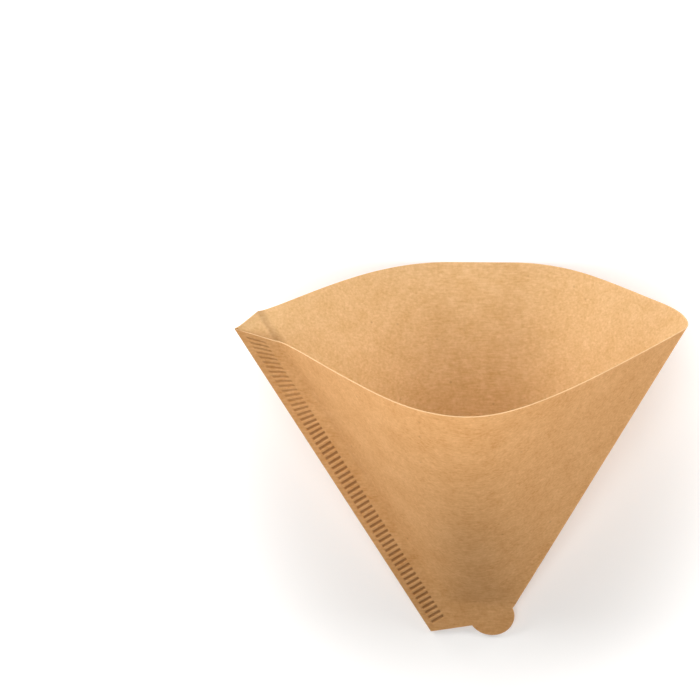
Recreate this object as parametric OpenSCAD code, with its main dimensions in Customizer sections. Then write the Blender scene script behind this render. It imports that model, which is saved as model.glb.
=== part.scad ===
// Cone coffee filter: one paper blank folded in two, crimped along its left side and pressed flat at the tip.
// It is opened and lies on its tip and the rim of its back wall, with the mouth towards +Y and the seam at -X.

/* [Paper] */
// thickness of one layer of paper
paper_t = 0.25; // [0.2:0.05:0.35]

/* [Cone] */
// width of the opened mouth between seam edge and fold
mouth_w = 122.6; // [116:0.2:130]
// width across the tip crease, where the two walls part
tip_w = 28.8; // [25:0.2:34]
// length of the fold from tip crease to rim
side_len = 99.2; // [96:0.2:104]
// length of each wall up its middle from tip crease to rim
wall_len = 97; // [94:0.5:102]
// how far the front wall's rim stands out from the seam plane
front_depth = 49; // [40:0.5:52]
// how far the back wall's rim stands out from the seam plane
back_depth = 45.5; // [38:0.5:50]
// roundness of the front wall towards the fold, low for a straight flank
front_round = 0.38; // [0.3:0.02:0.9]
// roundness of the back wall towards the fold
back_round = 1.6; // [0.6:0.1:1.8]
// slope at which the front wall leaves the margin, against its mean slope
front_spring = 1.4; // [0.8:0.05:1.8]
// slope at which the back wall leaves the margin
back_spring = 2.1; // [1.2:0.05:2.4]
// share of the back wall's middle that is flat
rest_flat = 0.16; // [0.1:0.02:0.24]
// radius of the side fold at the rim, on its front side
fold_front = 2; // [1.2:0.1:4]
// radius of the side fold at the rim, on its back side
fold_back = 8; // [6:0.5:12]
// length over which a wall bends out of the plane of tip and margin
crease_ease = 2; // [1:0.5:4]
// how much lower the rim is at the seam edge
rim_drop = 2.7; // [1:0.1:3.6]

/* [Seam] */
// width of the glued and crimped margin
strip_w = 8.4; // [7.8:0.1:9.6]
// number of crimp marks along the margin
mark_count = 60; // [48:1:64]
// length of one crimp mark across the margin
mark_len = 4.6; // [3.6:0.1:5.2]
// plain paper between the seam edge and the marks
mark_margin = 1.4; // [1:0.1:2.2]
// depth pressed into the front, and raised on the back
mark_depth = 0.2; // [0.1:0.02:0.24]
// length of the slope at each end of a mark
mark_ramp = 0.5; // [0.3:0.1:0.8]
// seam edge left plain above and below the marks
mark_end = 2.4; // [2.2:0.1:4]
// angle of the marks off square to the seam edge
mark_turn = 6; // [0:1:9]

/* [Opened corner] */
// length of margin that has come open below the rim
peel_len = 36; // [26:1:44]
// angle the front layer turns out of the seam plane at the rim
peel_front = 8; // [6:1:30]
// angle the back layer turns out there
peel_back = 40; // [30:1:60]
// margin that still holds at the rim corner
edge_bond = 0.8; // [0.6:0.1:1.2]
// how far the front layer's rim runs down across the margin
front_sag = 7.8; // [4:0.2:8.4]
// length of margin below the rim over which the front's crimps turn with it
sag_len = 39; // [34:1:44]

/* [Tip] */
// height of the pressed tip below its crease, at the fold
tip_h = 5; // [4.6:0.1:7]
// slope of the tip's cut edge
tip_slant = 11.5; // [8:0.5:13]
// radius of the round tab at the tip
tab_r = 6.5; // [6:0.1:6.8]
// distance of the tab's centre inside the fold
tab_in = 4.1; // [3.6:0.1:4.6]
// distance of the tab's centre above the cut edge
tab_up = 2.3; // [1.8:0.1:2.8]

/* [Hidden] */
kraft = [0.80, 0.60, 0.38];
// side edges lean out from the middle by this angle
lean = asin((mouth_w - tip_w) / 2 / side_len);
edge_up = [-sin(lean), cos(lean)];
edge_in = [cos(lean), sin(lean)];
rim_h = side_len * cos(lean);
// tip outline, in the flat pattern with the crease at height 0
cut_dir = [cos(tip_slant), sin(tip_slant)];
fold_dir = [-sin(lean), -cos(lean)];
crease_end = [tip_w / 2, 0];
cut_end = crease_end + fold_dir * tip_h / cos(lean);
cut_len = (tip_w - 2 * tip_h * tan(lean)) / (cos(tip_slant) + sin(tip_slant) * tan(lean));
seam_foot = cut_end - cut_dir * cut_len;
seam_len = (rim_h - rim_drop - seam_foot[1]) / cos(lean);
// the tab's centre, at set distances from the fold and from the cut edge
corner_sin = abs(cut_dir[0] * fold_dir[1] - cut_dir[1] * fold_dir[0]);
tab_c = cut_end - cut_dir * tab_in / corner_sin - fold_dir * tab_up / corner_sin;
// the seam plane leans at this angle when the tip's end and the back wall's rim lie on the floor
tip_reach = max(-seam_foot[1], tab_r - tab_c[1]);
rest = atan(back_depth / (sqrt(wall_len * wall_len - back_depth * back_depth) + tip_reach));
// seam rows follow the marks, and turn to the cut at the foot and to the rim
mark_lift = strip_w * tan(mark_turn);
crease_s = (-seam_foot[1] - strip_w * sin(lean)) / cos(lean) - mark_lift;
foot_skew = -strip_w * tan(lean - tip_slant);
// share of the opened margin, of a wall's length and of its half width over which it bends away
open_ease = 0.12;
tip_ease = crease_ease / wall_len;
margin_ease = 2 * crease_ease / (mouth_w - strip_w);
// share of a pitch from a mark's middle to its floor and to its brim
mark_floor = 0.16;
mark_brim = 0.34;
mark_pitch = (seam_len - 2 * mark_end) / (mark_count - 1);
first_row = min(crease_s, mark_end - mark_brim * mark_pitch);
// share of the mark's depth that stays where the margin has come open
open_mark = 0.6;
open_fade = 0.3;
// mesh steps: wall rows, wall columns beside and on the flat, fold, open margin and tab
wall_rows = 14;
row_power = 1.3;
side_cols = 13;
col_power = 1.4;
flat_cols = 6;
fold_cols = 6;
open_cols = 5;
tab_steps = 18;
step = 0.001;

function mix(a, b, t) = a + (b - a) * t;
function unit(p) = p / norm(p);
function ray(angle) = [cos(angle), sin(angle)];
function edge_across(d) = [-d[1], d[0]];
function foot_of(p, d, c) = (c - p) * d;
function off_of(p, d, c) = abs((c - p) * edge_across(d));

// from the flat seam plane to the lying cone: across, up the plane, off the plane
function lay(x, z, n) = [x, z * cos(rest) - n * sin(rest), z * sin(rest) + n * cos(rest)];

// starts level and ends at 1, with a bend of the given length
function eased(x, ease) = x * x / (x + ease) * (1 + ease);

// share of a wall's depth across its width: 0 at the edges and 1 in the middle,
// a cubic on the seam side and a hyperbola on the fold side
function bulge(u, spring, k, flat) =
    let (e = max(0, (abs(2 * u - 1) - flat) / (1 - flat)))
    let (t = eased(1 - e, margin_ease))
    u < 0.5 ? spring * t * pow(1 - t, 2) + t * t * (3 - 2 * t) :
    1 - (sqrt(e * e + k * k) - k) / (sqrt(1 + k * k) - k);
function wall_bulge(w, u) =
    w > 0 ? bulge(u, front_spring, front_round, 0) : bulge(u, back_spring, back_round, rest_flat);
function wall_depth(w) = w > 0 ? front_depth : back_depth;
function fold_radius(w) = w > 0 ? fold_front : fold_back;

// opened corner: 0 where the margin holds, 1 at the rim
function peel(s) = max(0, (s - seam_len + peel_len) / peel_len);
function bond(s) = mix(strip_w, edge_bond, peel(s));
function turn_out(w, s) = min(1, sin(w > 0 ? peel_front : peel_back) * sqrt(peel(s)));
function past_bond(s, a) =
    let (room = strip_w - bond(s))
    a <= bond(s) ? 0 : room * eased((a - bond(s)) / room, open_ease);
function stand_off(w, s, a) = past_bond(s, a) * turn_out(w, s);

// a point of the margin: s along the seam edge, a in from it, w is 1 in front and -1 at the back
function row_skew(w, s) =
    s < first_row ? mix(foot_skew, mark_lift, s / first_row) :
    mix(mark_lift, w > 0 ? -front_sag : 0, max(0, 1 - (seam_len - s) / sag_len));
function margin_flat(w, s, a) =
    let (drawn_in = past_bond(s, a) * (1 - sqrt(1 - pow(turn_out(w, s), 2))))
    seam_foot + edge_up * (s + row_skew(w, s) * a / strip_w) + edge_in * (a - drawn_in);
function margin_point(w, s, a) =
    let (f = margin_flat(w, s, a))
    lay(f[0], f[1], w * stand_off(w, s, a));
function margin_normal(w, s, a) =
    unit(cross(
        margin_point(w, s, a + step) - margin_point(w, s, a - step),
        margin_point(w, s + step, a) - margin_point(w, s - step, a)));

// a point of a wall: u across from the margin to the fold, v up from crease to rim
function wall_s(v) = mix(crease_s, seam_len, v);
function fold_round(w, u) =
    let (t = min(1, (1 - u) * (mouth_w - strip_w) / fold_radius(w)))
    u < 0.5 ? 0 : fold_radius(w) * sqrt(max(0, 1 - pow(1 - t, 2)));
function wall_point(w, u, v) =
    let (s = wall_s(v))
    let (m = margin_flat(w, s, strip_w))
    let (r = wall_bulge(w, u))
    let (d = wall_depth(w))
    let (x = mix(m[0], tip_w / 2 + v * rim_h * tan(lean), u))
    let (z = (1 - r) * mix(m[1], v * rim_h, u) + r * v * sqrt(wall_len * wall_len - d * d))
    let (near_edge = pow(1 - r, 3))
    let (from_seam = u < 0.5 ? stand_off(w, s, strip_w) * near_edge : 0)
    lay(x, max(0, z), w * (eased(v, tip_ease) * (near_edge * fold_round(w, u) + d * r) + from_seam));
function wall_normal(w, u, v) =
    unit(cross(
        wall_point(w, min(1, u + step), v) - wall_point(w, max(0, u - step), v),
        wall_point(w, u, v + step) - wall_point(w, u, v - step)));
fold_out = [cos(lean), -sin(lean) * cos(rest), -sin(lean) * sin(rest)];
seam_normal = [0, -sin(rest), cos(rest)];

// the sheet's outer faces, one paper thickness off
function wall_outer(w, u, v) =
    let (n =
        v == 0 ? seam_normal :
        u == 0 ? unit(wall_normal(w, 0, v) + margin_normal(w, wall_s(v), strip_w - step * 2)) :
        u == 1 ? unit(fold_out * w + seam_normal) :
        wall_normal(w, u, v))
    wall_point(w, u, v) + n * w * paper_t;
function margin_outer(w, s, a, sunk) =
    let (press = sunk * mark_depth * mix(1, open_mark, min(1, peel(s) / open_fade)))
    margin_point(w, s, a) + margin_normal(w, s, a) * (w * paper_t - press);
function tip_outer(w, p) = lay(p[0], p[1], w * paper_t);

// seam rows, each with its share of the mark's depth
function mark_s(k) = mark_end + k * mark_pitch;
seam_rows = concat(
    [[0, 0]],
    [for (k = [0:mark_count - 1])
        for (e = [[-mark_brim, 0], [-mark_floor, 1], [mark_floor, 1], [mark_brim, 0]])
            [mark_s(k) + e[0] * mark_pitch, e[1]]],
    [[seam_len, 0]]);
mark_far = mark_margin + mark_len;
seam_cols = [[0, 0], [mark_margin, 0], [mark_margin + mark_ramp, 1], [mark_far - mark_ramp, 1], [mark_far, 0]];

// wall rows and columns
wall_vs = [for (i = [0:wall_rows]) pow(i / wall_rows, row_power)];
fold_share = max(fold_front, fold_back) / (mouth_w - strip_w);
flat_from = 0.5 - rest_flat / 2;
wall_us = concat(
    [for (i = [0:side_cols - 1]) flat_from * pow(i / side_cols, col_power)],
    [for (i = [0:flat_cols - 1]) mix(flat_from, 1 - flat_from, i / flat_cols)],
    [for (i = [0:side_cols - 1]) mix(1 - flat_from, 1 - fold_share, i / side_cols)],
    [for (i = [0:fold_cols]) 1 - fold_share * (1 - sin(90 * i / fold_cols))]);
last_u = len(wall_us) - 1;
last_row = len(seam_rows) - 1;
last_col = len(seam_cols) - 1;

// the tip's outline from the margin to the fold
cut_inner = seam_foot + edge_up * foot_skew + edge_in * strip_w;
notch_cut = seam_foot + cut_dir
    * (foot_of(seam_foot, cut_dir, tab_c) - sqrt(tab_r * tab_r - pow(off_of(seam_foot, cut_dir, tab_c), 2)));
notch_fold = crease_end + fold_dir
    * (foot_of(crease_end, fold_dir, tab_c) - sqrt(tab_r * tab_r - pow(off_of(crease_end, fold_dir, tab_c), 2)));
arc_from = atan2(notch_cut[1] - tab_c[1], notch_cut[0] - tab_c[0]);
arc_to = atan2(notch_fold[1] - tab_c[1], notch_fold[0] - tab_c[0]);
tip_points = concat(
    [cut_inner],
    [for (i = [0:tab_steps]) tab_c + tab_r * ray(mix(arc_from, arc_to, i / tab_steps))],
    [tab_c]);

// every point of one outer face: margin rows, then wall rows, then the tip
function face_points(w) = concat(
    [for (r = seam_rows) for (c = seam_cols) margin_outer(w, r[0], c[0], r[1] * c[1])],
    [for (v = wall_vs) for (u = wall_us) wall_outer(w, u, v)],
    [for (p = tip_points) tip_outer(w, p)]);
margin_size = (last_row + 1) * (last_col + 1);
wall_size = (wall_rows + 1) * (last_u + 1);
face_size = margin_size + wall_size + len(tip_points);

// the inside: columns of the open margin, then those of the wall
inner_last = open_cols + last_u;
function inner_point(w, i, j) =
    let (v = wall_vs[i])
    let (s = wall_s(v))
    j < open_cols ? margin_point(w, s, mix(bond(s), strip_w, j / open_cols)) :
    wall_point(w, wall_us[j - open_cols], v);
function inner_points(w) = [for (i = [0:wall_rows]) for (j = [0:inner_last]) inner_point(w, i, j)];
// front and back share the points where they meet: the crease, the fold and where the margin holds
function inner_index(w, i, j) =
    let (held = peel(wall_s(wall_vs[i])) <= 0)
    let (c = held ? max(j, open_cols) : j)
    let (joined = w > 0 || i == 0 || c == inner_last || c == (held ? open_cols : 0))
    2 * face_size + (joined ? 0 : (wall_rows + 1) * (inner_last + 1)) + i * (inner_last + 1) + c;

function base(w) = w > 0 ? 0 : face_size;
function margin_grid(w) =
    [for (i = [0:last_row]) [for (j = [0:last_col]) base(w) + i * (last_col + 1) + j]];
function wall_grid(w) =
    [for (i = [0:wall_rows]) [for (j = [0:last_u]) base(w) + margin_size + i * (last_u + 1) + j]];
function tip_index(w, i) = base(w) + margin_size + wall_size + i;
function inner_grid(w) = [for (i = [0:wall_rows]) [for (j = [0:inner_last]) inner_index(w, i, j)]];

// triangles of a grid, of the join between two rows of points, and of a band between equal rows
function turned(t, flip) = flip ? [t[2], t[1], t[0]] : t;
function whole(t) = t[0] != t[1] && t[1] != t[2] && t[0] != t[2];
function cell(p, q, r, t, lean_left) = lean_left ? [[p, q, t], [q, r, t]] : [[p, q, r], [p, r, t]];
function grid_faces(g, flip) =
    [for (i = [0:len(g) - 2]) for (j = [0:len(g[0]) - 2])
        for (t = cell(g[i][j], g[i + 1][j], g[i + 1][j + 1], g[i][j + 1], j > len(g[0]) / 2))
            if (whole(t)) turned(t, flip)];
function band_faces(a, b, flip) =
    [for (i = [0:len(a) - 2])
        for (t = [[a[i], a[i + 1], b[i + 1]], [a[i], b[i + 1], b[i]]])
            if (whole(t)) turned(t, flip)];
function middles(p) = [for (i = [0:len(p) - 2]) (p[i] + p[i + 1]) / 2];
function below(list, x) = len([for (e = list) if (e < x) e]);
function join_faces(a, pa, b, pb, flip) =
    let (ma = middles(pa))
    let (mb = middles(pb))
    concat(
        [for (i = [0:len(ma) - 1]) turned([a[i], a[i + 1], b[below(mb, ma[i])]], flip)],
        [for (j = [0:len(mb) - 1]) turned([b[j], a[below(ma, mb[j])], b[j + 1]], flip)]);

// one outer face: margin, join to the wall, wall, tip and tab
function seam_side(w) = [for (r = seam_rows) r[0] + row_skew(w, r[0])];
function wall_side(w) = concat([foot_skew], [for (v = wall_vs) wall_s(v) + row_skew(w, wall_s(v))]);
crease_xs = [for (u = wall_us) wall_point(1, u, 0)[0]];
hub = len(tip_points) - 1;
tip_row = [0, 1, hub, hub - 1];
function outer_faces(w) =
    let (back = w < 0)
    let (m = margin_grid(w))
    let (g = wall_grid(w))
    concat(
        grid_faces(m, back),
        grid_faces(g, back),
        join_faces(
            [for (r = m) r[last_col]], seam_side(w),
            concat([tip_index(w, 0)], [for (r = g) r[0]]), wall_side(w), back),
        join_faces(
            g[0], crease_xs,
            [for (i = tip_row) tip_index(w, i)], [for (i = tip_row) tip_points[i][0]], back),
        [for (i = [1:tab_steps]) turned([tip_index(w, i), tip_index(w, hub), tip_index(w, i + 1)], back)]);

// the cut edge all round below the rim, from the seam corner to the fold corner
function outline(w) =
    let (m = margin_grid(w))
    let (g = wall_grid(w))
    concat(
        [for (i = [last_row:-1:0]) m[i][0]],
        [for (j = [1:last_col]) m[0][j]],
        [for (i = [0:hub - 1]) tip_index(w, i)],
        [for (i = [0:wall_rows]) g[i][last_u]]);
function rim(w) = concat(margin_grid(w)[last_row], wall_grid(w)[wall_rows]);
function inner_rim(w) = inner_grid(w)[wall_rows];

// all points, then moved so that the origin is on the floor under the middle of the part
raw_points = concat(face_points(1), face_points(-1), inner_points(1), inner_points(-1));
function along(k) = [for (p = raw_points) p[k]];
function middle(k) = (min(along(k)) + max(along(k))) / 2;
origin = [middle(0), middle(1), min(along(2))];
rim_end = open_cols + last_u;

module filter_paper() {
    color(kraft)
        polyhedron(
            points = [for (p = raw_points) p - origin],
            faces = concat(
                outer_faces(1),
                outer_faces(-1),
                grid_faces(inner_grid(1), true),
                grid_faces(inner_grid(-1), false),
                band_faces(outline(1), outline(-1), false),
                band_faces(rim(1), inner_rim(1), true),
                band_faces(rim(-1), inner_rim(-1), false),
                [[rim(1)[0], rim(-1)[0], inner_rim(1)[0]]],
                [[rim(1)[rim_end], inner_rim(1)[inner_last], rim(-1)[rim_end]]]),
            convexity = 6);
}

filter_paper();
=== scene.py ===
import math

import bpy
import numpy as np
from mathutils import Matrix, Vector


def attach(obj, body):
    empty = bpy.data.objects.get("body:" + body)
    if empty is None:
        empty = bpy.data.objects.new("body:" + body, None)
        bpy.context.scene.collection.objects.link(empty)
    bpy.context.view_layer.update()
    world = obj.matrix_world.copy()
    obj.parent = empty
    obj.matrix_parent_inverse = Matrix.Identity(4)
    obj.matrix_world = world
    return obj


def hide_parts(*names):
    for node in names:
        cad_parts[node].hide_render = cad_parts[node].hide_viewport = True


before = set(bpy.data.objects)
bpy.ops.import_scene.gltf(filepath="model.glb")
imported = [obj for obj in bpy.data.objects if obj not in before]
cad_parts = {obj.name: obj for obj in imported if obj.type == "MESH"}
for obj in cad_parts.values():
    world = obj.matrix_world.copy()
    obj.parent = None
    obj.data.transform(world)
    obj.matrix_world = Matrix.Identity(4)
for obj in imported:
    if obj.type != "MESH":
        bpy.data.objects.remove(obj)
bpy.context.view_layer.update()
print("frame loaded:", ", ".join(sorted(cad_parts)))

mm = 0.001

# sizes of the paper cone in mm and degrees, after the solid's, with those of the finer detail below them
paperCone = {
    "paperT": 0.25,
    "mouthW": 122.6, "tipW": 28.8, "sideLen": 99.2, "wallLen": 97.0,
    "frontDepth": 49.0, "backDepth": 45.5, "frontRound": 0.38, "backRound": 1.6,
    "frontSpring": 1.4, "backSpring": 2.1, "restFlat": 0.16, "foldFront": 2.0, "foldBack": 8.0,
    "creaseEase": 2.0, "rimDrop": 2.7,
    "stripW": 8.4, "markCount": 60, "markLen": 4.6, "markMargin": 1.4,
    "markDepth": 0.2, "markEnd": 2.4, "markTurn": 6.0, "markFloor": 0.14, "markBrim": 0.34, "markRamp": 0.5,
    "openMark": 0.6, "openFade": 0.3,
    "peelLen": 36.0, "peelFront": 8.0, "peelBack": 40.0, "edgeBond": 0.8, "peelEase": 0.12,
    "frontSag": 7.8, "sagLen": 39.0,
    "tipH": 5.0, "tipSlant": 11.5, "tabR": 6.5, "tabIn": 4.1, "tabUp": 2.3,
    "cockle": 0.22,         # height of the soft waves that damp air leaves in thin paper
    "layerGroove": 0.05,    # hollow between the two cut layers along the seam edge
    "creaseShade": 0.4,      # how dark the painted shade along the opened margin's crease is inside, as a share of a crimp's painted shade
    "creaseShadeFrom": (-1.3, -0.2), "creaseShadeTo": (0.3, 1.8),   # where that painted shade starts and ends across the margin's inner line
    "foldSwell": 0.1,       # how far the folded side swells past its two layers
    "highlightWidth": 0.3,        # width of the painted highlight along the cut rim and the seam edge
    "sideHighlight": 0.6,        # share of that painted highlight on the cut edge between the layers
    "joinWithin": 1e-4, "sharpAngle": 52.0,
    "rowsPerMark": 12, "wallRows": 60, "sideCols": 36, "flatCols": 12, "foldCols": 14, "tabSteps": 48,
}
c = paperCone

lean = math.asin((c["mouthW"] - c["tipW"]) / 2 / c["sideLen"])
edgeUp = np.array([-math.sin(lean), math.cos(lean)])
edgeIn = np.array([math.cos(lean), math.sin(lean)])
rimH = c["sideLen"] * math.cos(lean)
slant = math.radians(c["tipSlant"])
cutDir = np.array([math.cos(slant), math.sin(slant)])
foldDir = np.array([-math.sin(lean), -math.cos(lean)])
creaseEnd = np.array([c["tipW"] / 2, 0.0])
cutEnd = creaseEnd + foldDir * c["tipH"] / math.cos(lean)
cutLen = (c["tipW"] - 2 * c["tipH"] * math.tan(lean)) / (math.cos(slant) + math.sin(slant) * math.tan(lean))
seamFoot = cutEnd - cutDir * cutLen
seamLen = (rimH - c["rimDrop"] - seamFoot[1]) / math.cos(lean)
cornerSin = abs(cutDir[0] * foldDir[1] - cutDir[1] * foldDir[0])
tabC = cutEnd - cutDir * c["tabIn"] / cornerSin - foldDir * c["tabUp"] / cornerSin
markLift = c["stripW"] * math.tan(math.radians(c["markTurn"]))
creaseS = (-seamFoot[1] - c["stripW"] * math.sin(lean)) / math.cos(lean) - markLift
footSkew = -c["stripW"] * math.tan(lean - slant)
markPitch = (seamLen - 2 * c["markEnd"]) / (c["markCount"] - 1)
firstRow = min(creaseS, c["markEnd"] - c["markBrim"] * markPitch)
# the seam plane leans at this angle when the tip's end and the back wall's rim lie on the floor
tipReach = max(-seamFoot[1], c["tabR"] - tabC[1])
rest = math.atan2(c["backDepth"], math.sqrt(c["wallLen"] ** 2 - c["backDepth"] ** 2) + tipReach)


def mix(a, b, t):
    return a + (b - a) * t


# smooth step: 0 up to low, 1 from high on, level at both ends
def ramp(x, low, high):
    t = np.clip((x - low) / (high - low), 0, 1)
    return t * t * (3 - 2 * t)


# eased start: x squared over x plus the easing, so it leaves 0 level and passes through 1 at 1
def easedStart(x, ease):
    x = np.maximum(x, 0)
    return x * x / (x + ease) * (1 + ease)


def unit(p):
    return p / np.linalg.norm(p, axis=-1, keepdims=True)


# seam plane to lying cone: x across, z up the plane and n off it, all leaning by the rest angle
def layDown(x, z, n):
    y = z * math.cos(rest) - n * math.sin(rest)
    h = z * math.sin(rest) + n * math.cos(rest)
    return np.stack(np.broadcast_arrays(x, y, h), -1)


# share of a wall's depth across its width, 0 at the edges and 1 in the middle:
# an eased cubic on the seam side, 1 minus a hyperbola on the fold side
def bulge(side, u):
    k = c["frontRound"] if side > 0 else c["backRound"]
    spring = c["frontSpring"] if side > 0 else c["backSpring"]
    flat = 0 if side > 0 else c["restFlat"]
    e = np.maximum(0, (np.abs(2 * u - 1) - flat) / (1 - flat))
    t = easedStart(1 - e, 2 * c["creaseEase"] / (c["mouthW"] - c["stripW"]))
    seamHalf = spring * t * (1 - t) ** 2 + t * t * (3 - 2 * t)
    foldHalf = 1 - (np.sqrt(e * e + k * k) - k) / (math.sqrt(1 + k * k) - k)
    return np.where(u < 0.5, seamHalf, foldHalf)


# the opened corner: how far the glue has let go, how wide it still holds, and the sine of the turned angle
def peelShare(s):
    return np.maximum(0, (s - seamLen + c["peelLen"]) / c["peelLen"])


def bondWidth(s):
    return mix(c["stripW"], c["edgeBond"], peelShare(s))


def turnOut(side, s):
    angle = math.radians(c["peelFront"] if side > 0 else c["peelBack"])
    return np.minimum(1, math.sin(angle) * np.sqrt(peelShare(s)))


# rows of the margin follow the crimps, and turn in straight steps to the cut at the foot and to the rim
def rowSkew(side, s):
    low = mix(footSkew, markLift, s / firstRow)
    high = mix(markLift, -c["frontSag"] if side > 0 else 0, np.maximum(0, 1 - (seamLen - s) / c["sagLen"]))
    return np.where(s < firstRow, low, high)


# margin: s along the seam edge and a in from it; past the bond the layer turns out of the seam plane
def marginFlat(side, s, a):
    s, a = np.broadcast_arrays(np.asarray(s, float), np.asarray(a, float))
    bond = bondWidth(s)
    room = np.maximum(c["stripW"] - bond, 1e-6)
    past = room * easedStart((a - bond) / room, c["peelEase"])
    turn = turnOut(side, s)
    along = s + rowSkew(side, s) * a / c["stripW"]
    across = a - past * (1 - np.sqrt(1 - turn ** 2))
    x = seamFoot[0] + edgeUp[0] * along + edgeIn[0] * across
    z = seamFoot[1] + edgeUp[1] * along + edgeIn[1] * across
    return x, z, side * past * turn


def marginPoint(side, s, a):
    return layDown(*marginFlat(side, s, a))


# soft waves: a sum of a few crossed sines, faded out at the seam, the fold, the crease and the flat it lies on
def cockle(side, u, v, x, z):
    shift = 0.0 if side > 0 else 2.1
    waves = (np.sin(x / 5.3 + z / 9.1 + shift) + np.sin(x / 8.7 - z / 6.1 + 1.3 + shift)
             + np.sin(x / 3.9 - z / 13.7 + 4.2) + np.sin(x / 15.1 + z / 4.7 + 0.4 - shift)) / 4
    fade = ramp(u, 0.03, 0.2) * ramp(1 - u, 0.03, 0.2) * ramp(v, 0.06, 0.35)
    if side < 0:
        fade = fade * ramp(np.abs(2 * u - 1), 0.3, 0.55)
    return c["cockle"] * waves * fade


# wall: u across from the margin to the fold, v up from the crease to the rim; a ruled cone, bulged off the seam plane
def wallPoint(side, u, v):
    u, v = np.broadcast_arrays(np.asarray(u, float), np.asarray(v, float))
    s = mix(creaseS, seamLen, v)
    mx, mz, mn = marginFlat(side, s, c["stripW"])
    r = bulge(side, u)
    depth = c["frontDepth"] if side > 0 else c["backDepth"]
    x = mix(mx, c["tipW"] / 2 + v * rimH * math.tan(lean), u)
    z = (1 - r) * mix(mz, v * rimH, u) + r * v * math.sqrt(c["wallLen"] ** 2 - depth ** 2)
    z = np.maximum(0, z)
    foldR = c["foldFront"] if side > 0 else c["foldBack"]
    t = np.minimum(1, (1 - u) * (c["mouthW"] - c["stripW"]) / foldR)
    foldRound = np.where(u < 0.5, 0, foldR * np.sqrt(np.maximum(0, 1 - (1 - t) ** 2)))
    nearEdge = (1 - r) ** 3
    rise = easedStart(v, c["creaseEase"] / c["wallLen"])
    n = side * rise * (nearEdge * foldRound + depth * r) + np.where(u < 0.5, mn * nearEdge, 0)
    return layDown(x, z, n + cockle(side, u, v, x, z))


# unit normal of a grid of points: cross product of its column and row steps, towards the front
def gridNormal(p):
    return unit(np.cross(np.gradient(p, axis=1), np.gradient(p, axis=0)))


# how deep a crimp is pressed at s, a: flat floor and eased flanks along the seam, eased at both ends across it
def crimpShare(s, a):
    place = (s - c["markEnd"]) / markPitch
    k = np.clip(np.round(place), 0, c["markCount"] - 1)
    along = 1 - ramp(np.abs(place - k), c["markFloor"], c["markBrim"])
    far = c["markMargin"] + c["markLen"]
    across = ramp(a, c["markMargin"], c["markMargin"] + c["markRamp"]) * ramp(far - a, 0, c["markRamp"])
    return along * across


# parameters of the grids
def spaced(*knots):
    return np.concatenate([np.linspace(p, q, n, endpoint=False) for p, q, n in knots])


markFar = c["markMargin"] + c["markLen"]
floorNear, floorFar = c["markMargin"] + c["markRamp"], markFar - c["markRamp"]
marginAs = np.append(spaced(
    (0, c["markMargin"], 5), (c["markMargin"], floorNear, 5), (floorNear, floorFar, 7), (floorFar, markFar, 5)), markFar)
marksFrom, marksTo = c["markEnd"] - markPitch / 2, seamLen - c["markEnd"] + markPitch / 2
# the last rows at the rim lie within the painted highlight band
highlightFrom = seamLen - c["highlightWidth"]
marginSs = np.append(spaced(
    (0, marksFrom, 8), (marksFrom, marksTo, c["markCount"] * c["rowsPerMark"]),
    (marksTo, highlightFrom, 6), (highlightFrom, seamLen, 3)), seamLen)
edgeZone = 0.06
foldShare = max(c["foldFront"], c["foldBack"]) / (c["mouthW"] - c["stripW"])
flatFrom = 0.5 - c["restFlat"] / 2
foldTurn = np.sin(np.linspace(0, math.pi / 2, c["foldCols"] + 1))
wallUs = np.concatenate([
    spaced((0, edgeZone, 8), (edgeZone, flatFrom, c["sideCols"]), (flatFrom, 1 - flatFrom, c["flatCols"]),
           (1 - flatFrom, 1 - foldShare, c["sideCols"])),
    1 - foldShare * (1 - foldTurn)])
highlightV = c["highlightWidth"] / c["wallLen"]
wallVs = np.append(spaced((0, edgeZone, 6), (edgeZone, 1 - highlightV, c["wallRows"]), (1 - highlightV, 1, 3)), 1)
openCols = len(marginAs)

# gathers points with their attributes: crimp (the share of painted shade in the crimps and along the crease), cut
# edge (the share of painted highlight) and inside
store = {"points": [], "crimp": [], "cutEdge": [], "inside": [], "faces": [], "size": 0}


def keep(points, crimp=0.0, cutEdge=0.0, inside=0.0):
    points = np.asarray(points, float)
    shape = points.shape[:-1]
    index = np.arange(store["size"], store["size"] + int(np.prod(shape))).reshape(shape)
    store["size"] += index.size
    store["points"].append(points.reshape(-1, 3))
    store["crimp"].append(np.broadcast_to(crimp, shape).ravel())
    store["cutEdge"].append(np.broadcast_to(cutEdge, shape).ravel())
    store["inside"].append(np.broadcast_to(inside, shape).ravel())
    return index


def keepFaces(triangles, flip):
    store["faces"].append(triangles[:, ::-1] if flip else triangles)


# two triangles for each cell of a grid
def gridFaces(g, flip):
    p, q, r, t = g[:-1, :-1].ravel(), g[:-1, 1:].ravel(), g[1:, 1:].ravel(), g[1:, :-1].ravel()
    keepFaces(np.concatenate([np.stack([p, q, r], 1), np.stack([p, r, t], 1)]), flip)


# a band between two rows of as many points
def bandFaces(a, b, flip):
    keepFaces(np.concatenate([np.stack([a[:-1], a[1:], b[1:]], 1), np.stack([a[:-1], b[1:], b[:-1]], 1)]), flip)


# a join between two rows with other spacings: each step of one row meets the nearest point of the other
def joinFaces(a, pa, b, pb, flip):
    ma, mb = (pa[:-1] + pa[1:]) / 2, (pb[:-1] + pb[1:]) / 2
    first = np.stack([a[:-1], a[1:], b[np.searchsorted(mb, ma)]], 1)
    second = np.stack([b[:-1], a[np.searchsorted(ma, mb)], b[1:]], 1)
    keepFaces(np.concatenate([first, second]), flip)


# tip outline: the cut from the margin, then the arc of the round tab to the fold
def meetTab(p, d):
    foot = (tabC - p) @ d
    off = (tabC - p) @ np.array([-d[1], d[0]])
    return p + d * (foot - math.sqrt(c["tabR"] ** 2 - off ** 2))


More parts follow.
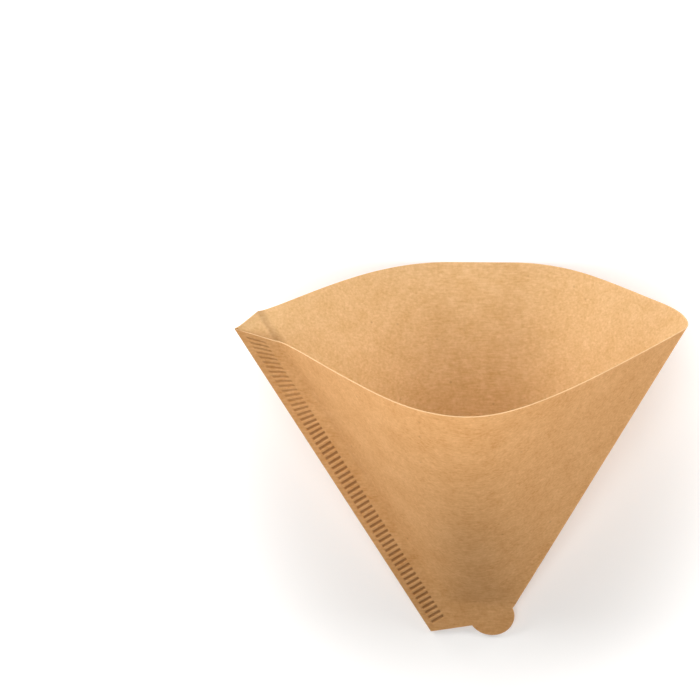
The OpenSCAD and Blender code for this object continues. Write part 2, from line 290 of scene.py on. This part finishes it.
cutInner = seamFoot + edgeUp * footSkew + edgeIn * c["stripW"]
notchCut = meetTab(seamFoot, cutDir)
notchFold = meetTab(creaseEnd, foldDir)
arcFrom = math.atan2(*(notchCut - tabC)[::-1])
arcTo = math.atan2(*(notchFold - tabC)[::-1])
arc = np.linspace(arcFrom, arcTo, c["tabSteps"] + 1)
tipArc = tabC + c["tabR"] * np.stack([np.cos(arc), np.sin(arc)], 1)
tipFlat = np.concatenate([cutInner[None], tipArc, tabC[None]])

wallSs = mix(creaseS, seamLen, wallVs)
foldOut = np.array([math.cos(lean), -math.sin(lean) * math.cos(rest), -math.sin(lean) * math.sin(rest)])
seamNormal = np.array([0, -math.sin(rest), math.cos(rest)])


# the outer face of one layer: crimped margin, wall and tip, one paper thickness off the inner surface
def outerFace(side):
    s, a = marginSs[:, None], marginAs[None]
    base = marginPoint(side, s, a)
    share = crimpShare(s, a)
    press = share * c["markDepth"] * mix(1, c["openMark"], np.minimum(1, peelShare(s) / c["openFade"]))
    # painted highlight: a pale band along the margin's cut rim and its seam edge
    paintedHighlight = np.maximum(ramp(s - seamLen, -c["highlightWidth"], 0), 1 - ramp(a, 0, c["highlightWidth"]))
    # the crimp attribute is the crimp's depth share, where the paper draws painted shade in the grooves
    margin = keep(base + gridNormal(base) * (side * c["paperT"] - press)[..., None], press / c["markDepth"], paintedHighlight)
    wall = wallPoint(side, wallUs[None], wallVs[:, None])
    normal = gridNormal(wall)
    normal[0] = seamNormal
    normal[:, -1] = unit(foldOut * side + seamNormal)
    # painted highlight along the wall's cut rim
    wallHighlight = ramp(wallVs - 1, -highlightV, 0)[:, None] + 0 * wallUs[None]
    wall = keep(wall + normal * side * c["paperT"], 0, wallHighlight)
    tip = keep(layDown(tipFlat[:, 0], tipFlat[:, 1], side * c["paperT"]))
    flip = side < 0
    gridFaces(margin, flip)
    gridFaces(wall, flip)
    seamSide = marginSs + rowSkew(side, marginSs)
    wallSide = np.append(footSkew, wallSs + rowSkew(side, wallSs))
    joinFaces(margin[:, -1], seamSide, np.append(tip[:1], wall[:, 0]), wallSide, not flip)
    hub = tip[-1]
    tipRow = np.array([0, 1, len(tip) - 1, len(tip) - 2])
    joinFaces(wall[0], wallPoint(1, wallUs, 0)[:, 0], tip[tipRow], tipFlat[tipRow, 0], not flip)
    keepFaces(np.stack([tip[1:-2], np.full(c["tabSteps"], hub), tip[2:-1]], 1), not flip)
    outline = np.concatenate([margin[::-1, 0], margin[0, 1:], tip[:-1], wall[:, -1]])
    rim = np.concatenate([margin[-1], wall[-1]])
    return outline, rim, len(margin) + len(marginAs) - 1 + len(tip) - 1


# the inner face of one layer: the opened part of the margin, then the wall
def innerFace(side):
    s = wallSs[:, None]
    share = np.arange(openCols)[None] / openCols
    inward = mix(bondWidth(s), c["stripW"], share)
    opened = marginPoint(side, s, inward)
    wall = wallPoint(side, wallUs[None], wallVs[:, None])
    # painted highlight along the cut rim of the inner face
    paintedHighlight = ramp(wallVs - 1, -highlightV, 0)[:, None] + 0 * np.arange(openCols + len(wallUs))[None]
    # painted shade on the back layer's inner face: a soft brown band along the crease at the margin's inner line,
    # where the margin has opened
    wallIn = c["stripW"] + wallUs[None] * (c["mouthW"] - c["stripW"]) + 0 * s
    inward = np.concatenate([inward, wallIn], 1) - c["stripW"]
    near, far = c["creaseShadeFrom"], c["creaseShadeTo"]
    paintedCreaseShade = ramp(inward, *near) * (1 - ramp(inward, *far)) * ramp(peelShare(s), 0.1, 0.6)
    paintedCreaseShade = paintedCreaseShade * (0 if side > 0 else c["creaseShade"])
    grid = keep(np.concatenate([opened, wall], 1), paintedCreaseShade, paintedHighlight, 1)
    gridFaces(grid, side > 0)
    return grid[-1]


frontLine, frontRim, foldStart = outerFace(1)
backLine, backRim, foldStart = outerFace(-1)
frontInner = innerFace(1)
backInner = innerFace(-1)
print("paper faces:", store["size"], "points")

# cut edge all round: a middle line that sinks between the two layers, and swells where the sheet is folded
gathered = np.concatenate(store["points"])
front, back = gathered[frontLine], gathered[backLine]
middle = (front + back) / 2
path = np.gradient(middle, axis=0)
outward = unit(np.cross(front - back, path))
isFold = (np.arange(len(middle)) >= foldStart)[:, None]
# the middle line of the cut edge carries part of the painted highlight
middleLine = keep(middle + outward * np.where(isFold, c["foldSwell"], -c["layerGroove"]), 0, c["sideHighlight"])
bandFaces(frontLine, middleLine, True)
bandFaces(middleLine, backLine, True)
bandFaces(frontRim, frontInner, False)
bandFaces(backRim, backInner, True)
corners = np.array([
    [frontInner[0], backRim[0], middleLine[0]], [frontInner[0], middleLine[0], frontRim[0]],
    [frontInner[-1], frontRim[-1], middleLine[-1]], [frontInner[-1], middleLine[-1], backRim[-1]]])
keepFaces(corners, False)


# joins points at the same place, drops triangles that closed up, and sets the cone on the floor over the origin
def makeMesh(name):
    points = np.concatenate(store["points"])
    cells = np.round(points / c["joinWithin"]).astype(np.int64)
    _, first, index = np.unique(cells, axis=0, return_index=True, return_inverse=True)
    faces = index.ravel()[np.concatenate(store["faces"])]
    whole = (faces[:, 0] != faces[:, 1]) & (faces[:, 1] != faces[:, 2]) & (faces[:, 0] != faces[:, 2])
    faces = faces[whole]
    points = points[first]
    low, high = points.min(0), points.max(0)
    points = points - [(low[0] + high[0]) / 2, (low[1] + high[1]) / 2, low[2]]
    mesh = bpy.data.meshes.new(name)
    mesh.vertices.add(len(points))
    mesh.vertices.foreach_set("co", (points * mm).ravel())
    mesh.loops.add(faces.size)
    mesh.loops.foreach_set("vertex_index", faces.ravel().astype(np.int32))
    mesh.polygons.add(len(faces))
    mesh.polygons.foreach_set("loop_start", np.arange(0, faces.size, 3, dtype=np.int32))
    mesh.polygons.foreach_set("use_smooth", np.ones(len(faces), bool))
    for key in ("crimp", "cutEdge", "inside"):
        values = np.concatenate(store[key])[first].astype(np.float32)
        mesh.attributes.new(key, "FLOAT", "POINT").data.foreach_set("value", values)
    mesh.update(calc_edges=True)
    mesh.validate()
    mesh.set_sharp_from_angle(angle=math.radians(c["sharpAngle"]))
    print("paper mesh:", len(points), "points,", len(faces), "triangles, box", (high - low).round(2))
    return mesh


cone = bpy.data.objects.new("paperCone", makeMesh("paperCone"))
bpy.context.scene.collection.objects.link(cone)


# sRGB hex to linear colour
def hexToLinear(code):
    s = np.array([int(code[i:i + 2], 16) for i in (0, 2, 4)]) / 255
    linear = np.where(s <= 0.04045, s / 12.92, ((s + 0.055) / 1.055) ** 2.4)
    return (*[float(x) for x in linear], 1.0)


# adds a node with its properties, input values and links
def addNode(tree, kind, props=None, values=None, links=None):
    node = tree.nodes.new(kind)
    for key, value in (props or {}).items():
        setattr(node, key, value)
    for key, value in (values or {}).items():
        node.inputs[key].default_value = value
    for key, source in (links or {}).items():
        tree.links.new(source, node.inputs[key])
    return node


# unbleached kraft filter paper, wet-laid and uncoated: warm brown pulp with cloudy formation,
# short fibres lying every way, a few dark specks, a dry matt face with a slight sheen; with painted shade in the
# crimps and along the opened margin's crease, a painted highlight along the cut edges, and a paler lit copy of the
# paper on the inner face
kraftPaper = {
    # colours: the outer face's random tone ends, a paler lit copy of them for the inner face (painted light), dark
    # specks, the painted shade of crimps and crease, and the painted highlight of the cut edges
    "light": "eab47a", "dark": "d2975a", "litInnerLight": "e4be8d", "litInnerDark": "cca26b",
    "speck": "94683a", "pressed": "7a4a20", "paintedHighlight": "f4d8ae",
    "cloudMm": 8.0, "mottleMm": 2.4, "grainMm": 0.8, "speckMm": 6.0,
    "fibreMm": (2.4, 0.5), "fibreTurns": (0.25, -0.6),
    "cloudWeight": 0.9, "mottleWeight": 1.0, "grainWeight": 1.4, "fibreWeight": 0.9, "toneHalf": 0.62,
    "speckShare": 0.3, "pressedShare": 0.62, "highlightShare": 0.35,
    "roughness": 0.9, "ior": 1.5, "specular": 0.25, "sheen": 0.12, "bumpMm": 0.05, "bumpStrength": 0.5,
}


def makeKraftPaper():
    k = kraftPaper
    material = bpy.data.materials.new("unbleachedKraftPaper")
    material.use_nodes = True
    tree = material.node_tree
    tree.nodes.clear()
    place = addNode(tree, "ShaderNodeTexCoord").outputs["Object"]
    # cloudy formation, and the finer mottling of the pulp
    cloud = addNode(tree, "ShaderNodeTexNoise", None,
                    {"Scale": 1 / (k["cloudMm"] * mm), "Detail": 2.0, "Roughness": 0.5}, {"Vector": place})
    mottle = addNode(tree, "ShaderNodeTexNoise", None,
                     {"Scale": 1 / (k["mottleMm"] * mm), "Detail": 3.0, "Roughness": 0.6}, {"Vector": place})
    # grain, drawn coarser than real fibres so that it shows
    grain = addNode(tree, "ShaderNodeTexNoise", None,
                    {"Scale": 1 / (k["grainMm"] * mm), "Detail": 2.0, "Roughness": 0.65}, {"Vector": place})
    # short fibres: noise stretched along two crossing directions
    longMm, thinMm = k["fibreMm"]
    fibres = []
    for turn in k["fibreTurns"]:
        laid = addNode(tree, "ShaderNodeMapping", None, {
            "Rotation": (0, 0, turn),
            "Scale": (1 / (longMm * mm), 1 / (thinMm * mm), 1 / (thinMm * mm))}, {"Vector": place})
        fibres.append(addNode(tree, "ShaderNodeTexNoise", None,
                              {"Scale": 1.0, "Detail": 1.0, "Roughness": 0.5}, {"Vector": laid.outputs[0]}))
    # weighted sum of the patterns
    shares = [(cloud, k["cloudWeight"]), (mottle, k["mottleWeight"]), (grain, k["grainWeight"]),
              (fibres[0], k["fibreWeight"]), (fibres[1], k["fibreWeight"])]
    total = None
    for pattern, weight in shares:
        links = {0: pattern.outputs[0]}
        if total is not None:
            links[2] = total
        total = addNode(tree, "ShaderNodeMath", {"operation": "MULTIPLY_ADD"}, {1: weight, 2: 0.0}, links).outputs[0]
    half = sum(weight for _, weight in shares) / 2
    tone = addNode(tree, "ShaderNodeMapRange", None,
                   {"From Min": half - k["toneHalf"], "From Max": half + k["toneHalf"]}, {"Value": total}).outputs[0]
    outer = addNode(tree, "ShaderNodeMix", {"data_type": "RGBA"},
                    {6: hexToLinear(k["dark"]), 7: hexToLinear(k["light"])}, {0: tone}).outputs[2]
    # painted light: the inner face is a paler, lit copy of the same paper, drawn to match the brighter look of the
    # inside
    inner = addNode(tree, "ShaderNodeMix", {"data_type": "RGBA"},
                    {6: hexToLinear(k["litInnerDark"]), 7: hexToLinear(k["litInnerLight"])}, {0: tone}).outputs[2]
    inside = addNode(tree, "ShaderNodeAttribute", {"attribute_name": "inside"}).outputs["Fac"]
    pulp = addNode(tree, "ShaderNodeMix", {"data_type": "RGBA"}, None, {0: inside, 6: outer, 7: inner}).outputs[2]
    # dark specks of bark, a few tenths of a millimetre across
    cells = addNode(tree, "ShaderNodeTexVoronoi", None,
                    {"Scale": 1 / (k["speckMm"] * mm), "Randomness": 1.0}, {"Vector": place})
    speck = addNode(tree, "ShaderNodeMapRange", None,
                    {"From Min": 0.03, "From Max": 0.08, "To Min": k["speckShare"], "To Max": 0.0},
                    {"Value": cells.outputs["Distance"]}).outputs[0]
    speckled = addNode(tree, "ShaderNodeMix", {"data_type": "RGBA"},
                       {7: hexToLinear(k["speck"])}, {0: speck, 6: pulp}).outputs[2]
    # painted shade: darker at the bottom of each crimp, and in a band along the opened margin's crease inside
    crimp = addNode(tree, "ShaderNodeAttribute", {"attribute_name": "crimp"}).outputs["Fac"]
    shadeAmount = addNode(tree, "ShaderNodeMath", {"operation": "MULTIPLY"}, {1: k["pressedShare"]}, {0: crimp}).outputs[0]
    pressed = addNode(tree, "ShaderNodeMix", {"data_type": "RGBA"},
                      {7: hexToLinear(k["pressed"])}, {0: shadeAmount, 6: speckled}).outputs[2]
    # painted highlight: paler along the cut edges
    edge = addNode(tree, "ShaderNodeAttribute", {"attribute_name": "cutEdge"}).outputs["Fac"]
    highlightAmount = addNode(tree, "ShaderNodeMath", {"operation": "MULTIPLY"}, {1: k["highlightShare"]}, {0: edge}).outputs[0]
    colour = addNode(tree, "ShaderNodeMix", {"data_type": "RGBA"},
                     {7: hexToLinear(k["paintedHighlight"])}, {0: highlightAmount, 6: pressed}).outputs[2]
    bump = addNode(tree, "ShaderNodeBump", None,
                   {"Strength": k["bumpStrength"], "Distance": k["bumpMm"] * mm}, {"Height": total}).outputs[0]
    shader = addNode(tree, "ShaderNodeBsdfPrincipled", None, {
        "Roughness": k["roughness"], "IOR": k["ior"], "Specular IOR Level": k["specular"],
        "Sheen Weight": k["sheen"], "Sheen Roughness": 0.5, "Sheen Tint": hexToLinear(k["light"])},
        {"Base Color": colour, "Normal": bump})
    addNode(tree, "ShaderNodeOutputMaterial", None, None, {"Surface": shader.outputs[0]})
    return material


cone.data.materials.append(makeKraftPaper())
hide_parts("filter_paper")
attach(cone, "root")
print("kraft paper on", cone.name)

# plain pale floor and soft light, sizes in metres and degrees
studio = {
    "floorHalf": 3.0, "floorDrop": 0.0001, "floorColour": "f2f1ef",
    "glowNear": 0.12, "glowFar": 0.9, "glowFrom": 0.045, "glowTo": 0.115,
    "ambient": 0.16,
    "left": {"at": (-0.30, 0.20, 0.13), "to": (0.0, 0.03, 0.04), "size": 0.3, "spread": 180.0, "watts": 1.6},
    "right": {"at": (0.33, 0.20, 0.12), "to": (0.0, 0.03, 0.04), "size": 0.3, "spread": 180.0, "watts": 1.45},
    "top": {"at": (0.0, -0.035, 0.18), "to": (0.0, 0.03, 0.07), "size": 0.12, "spread": 125.0, "watts": 0.078},
}


# what the camera, glossy and see-through rays meet is white; other rays meet the plain light level
def seenRays(tree):
    path = addNode(tree, "ShaderNodeLightPath")
    either = addNode(tree, "ShaderNodeMath", {"operation": "MAXIMUM"}, None,
                     {0: path.outputs["Is Camera Ray"], 1: path.outputs["Is Glossy Ray"]})
    return addNode(tree, "ShaderNodeMath", {"operation": "MAXIMUM"}, None,
                   {0: either.outputs[0], 1: path.outputs["Is Transmission Ray"]}).outputs[0]


def makeStudio():
    half, drop = studio["floorHalf"], studio["floorDrop"]
    mesh = bpy.data.meshes.new("studioFloor")
    mesh.from_pydata([(-half, -half, -drop), (half, -half, -drop), (half, half, -drop), (-half, half, -drop)],
                     [], [(0, 1, 2, 3)])
    floor = bpy.data.objects.new("studioFloor", mesh)
    bpy.context.scene.collection.objects.link(floor)
    # matt white board, lifted for the eye: little beside the cone, where the shadow stays, and to white away from it
    board = bpy.data.materials.new("mattWhiteBoard")
    board.use_nodes = True
    tree = board.node_tree
    tree.nodes.clear()
    matt = addNode(tree, "ShaderNodeBsdfDiffuse", None, {"Color": hexToLinear(studio["floorColour"])})
    place = addNode(tree, "ShaderNodeTexCoord").outputs["Object"]
    away = addNode(tree, "ShaderNodeVectorMath", {"operation": "LENGTH"}, None, {0: place}).outputs["Value"]
    lift = addNode(tree, "ShaderNodeMapRange", {"interpolation_type": "SMOOTHSTEP"}, {
        "From Min": studio["glowFrom"], "From Max": studio["glowTo"],
        "To Min": studio["glowNear"], "To Max": studio["glowFar"]}, {"Value": away}).outputs[0]
    share = addNode(tree, "ShaderNodeMath", {"operation": "MULTIPLY"}, None, {0: lift, 1: seenRays(tree)})
    glow = addNode(tree, "ShaderNodeEmission", None, None, {"Strength": share.outputs[0]})
    both = addNode(tree, "ShaderNodeAddShader", None, None, {0: matt.outputs[0], 1: glow.outputs[0]})
    addNode(tree, "ShaderNodeOutputMaterial", None, None, {"Surface": both.outputs[0]})
    mesh.materials.append(board)
    world = bpy.data.worlds.new("studioWorld")
    world.use_nodes = True
    tree = world.node_tree
    tree.nodes.clear()
    level = addNode(tree, "ShaderNodeMapRange", None, {"To Min": studio["ambient"], "To Max": 1.0},
                    {"Value": seenRays(tree)})
    sky = addNode(tree, "ShaderNodeBackground", None, {"Color": (1, 1, 1, 1)}, {"Strength": level.outputs[0]})
    addNode(tree, "ShaderNodeOutputWorld", None, None, {"Surface": sky.outputs[0]})
    bpy.context.scene.world = world
    for name in ("left", "right", "top"):
        spec = studio[name]
        lamp = bpy.data.lights.new(name + "Lamp", "AREA")
        lamp.shape = "DISK"
        lamp.size = spec["size"]
        lamp.spread = math.radians(spec["spread"])
        lamp.energy = spec["watts"]
        lampObject = bpy.data.objects.new(name + "Lamp", lamp)
        aim = Vector(spec["to"]) - Vector(spec["at"])
        lampObject.location = spec["at"]
        lampObject.rotation_euler = aim.to_track_quat("-Z", "Y").to_euler()
        lampObject.visible_camera = False
        bpy.context.scene.collection.objects.link(lampObject)


makeStudio()
print("studio ready")

# the photograph's view: nearly straight down on the cone as it lies
view = {"at": (50.29, 21.463, 629.694), "turn": (0.6468, 7.6691, 0.7375), "lens": 113.775, "sensor": 36.0}
camera = bpy.data.cameras.new("photoCamera")
camera.lens = view["lens"]
camera.sensor_width = view["sensor"]
cameraObject = bpy.data.objects.new("photoCamera", camera)
cameraObject.location = [x * mm for x in view["at"]]
cameraObject.rotation_euler = [math.radians(x) for x in view["turn"]]
bpy.context.scene.collection.objects.link(cameraObject)
bpy.context.scene.camera = cameraObject
bpy.context.scene.view_settings.view_transform = "Standard"
